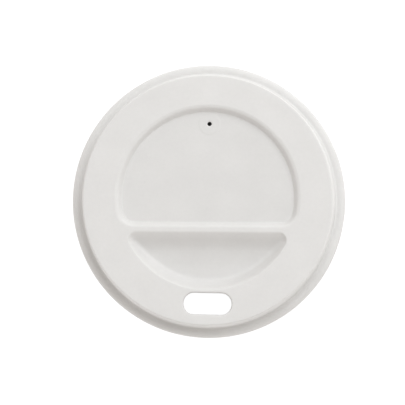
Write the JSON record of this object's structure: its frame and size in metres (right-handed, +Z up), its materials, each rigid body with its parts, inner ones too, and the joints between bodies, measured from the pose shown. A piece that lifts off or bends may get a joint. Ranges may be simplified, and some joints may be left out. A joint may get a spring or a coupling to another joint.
{
  "type": "cup lid",
  "caption": "Round moulded-fibre lid that snaps over a hot paper cup, with a raised deck, a drinking slot, a scooped nose recess, a flat recess and a vent hole.",
  "frame": {"origin": "centre of the circle that the lip stands on, at the height of the surface under the lid", "axes": "+Z up through the deck, -Y towards the drinking slot, +X to the drinker's right"},
  "size_m": [0.0924, 0.0924, 0.017],
  "materials": {
    "fibre": "matt off-white moulded fibre"
  },
  "bodies": {
    "root": {"lid": "fibre"}
  },
  "joints": []
}
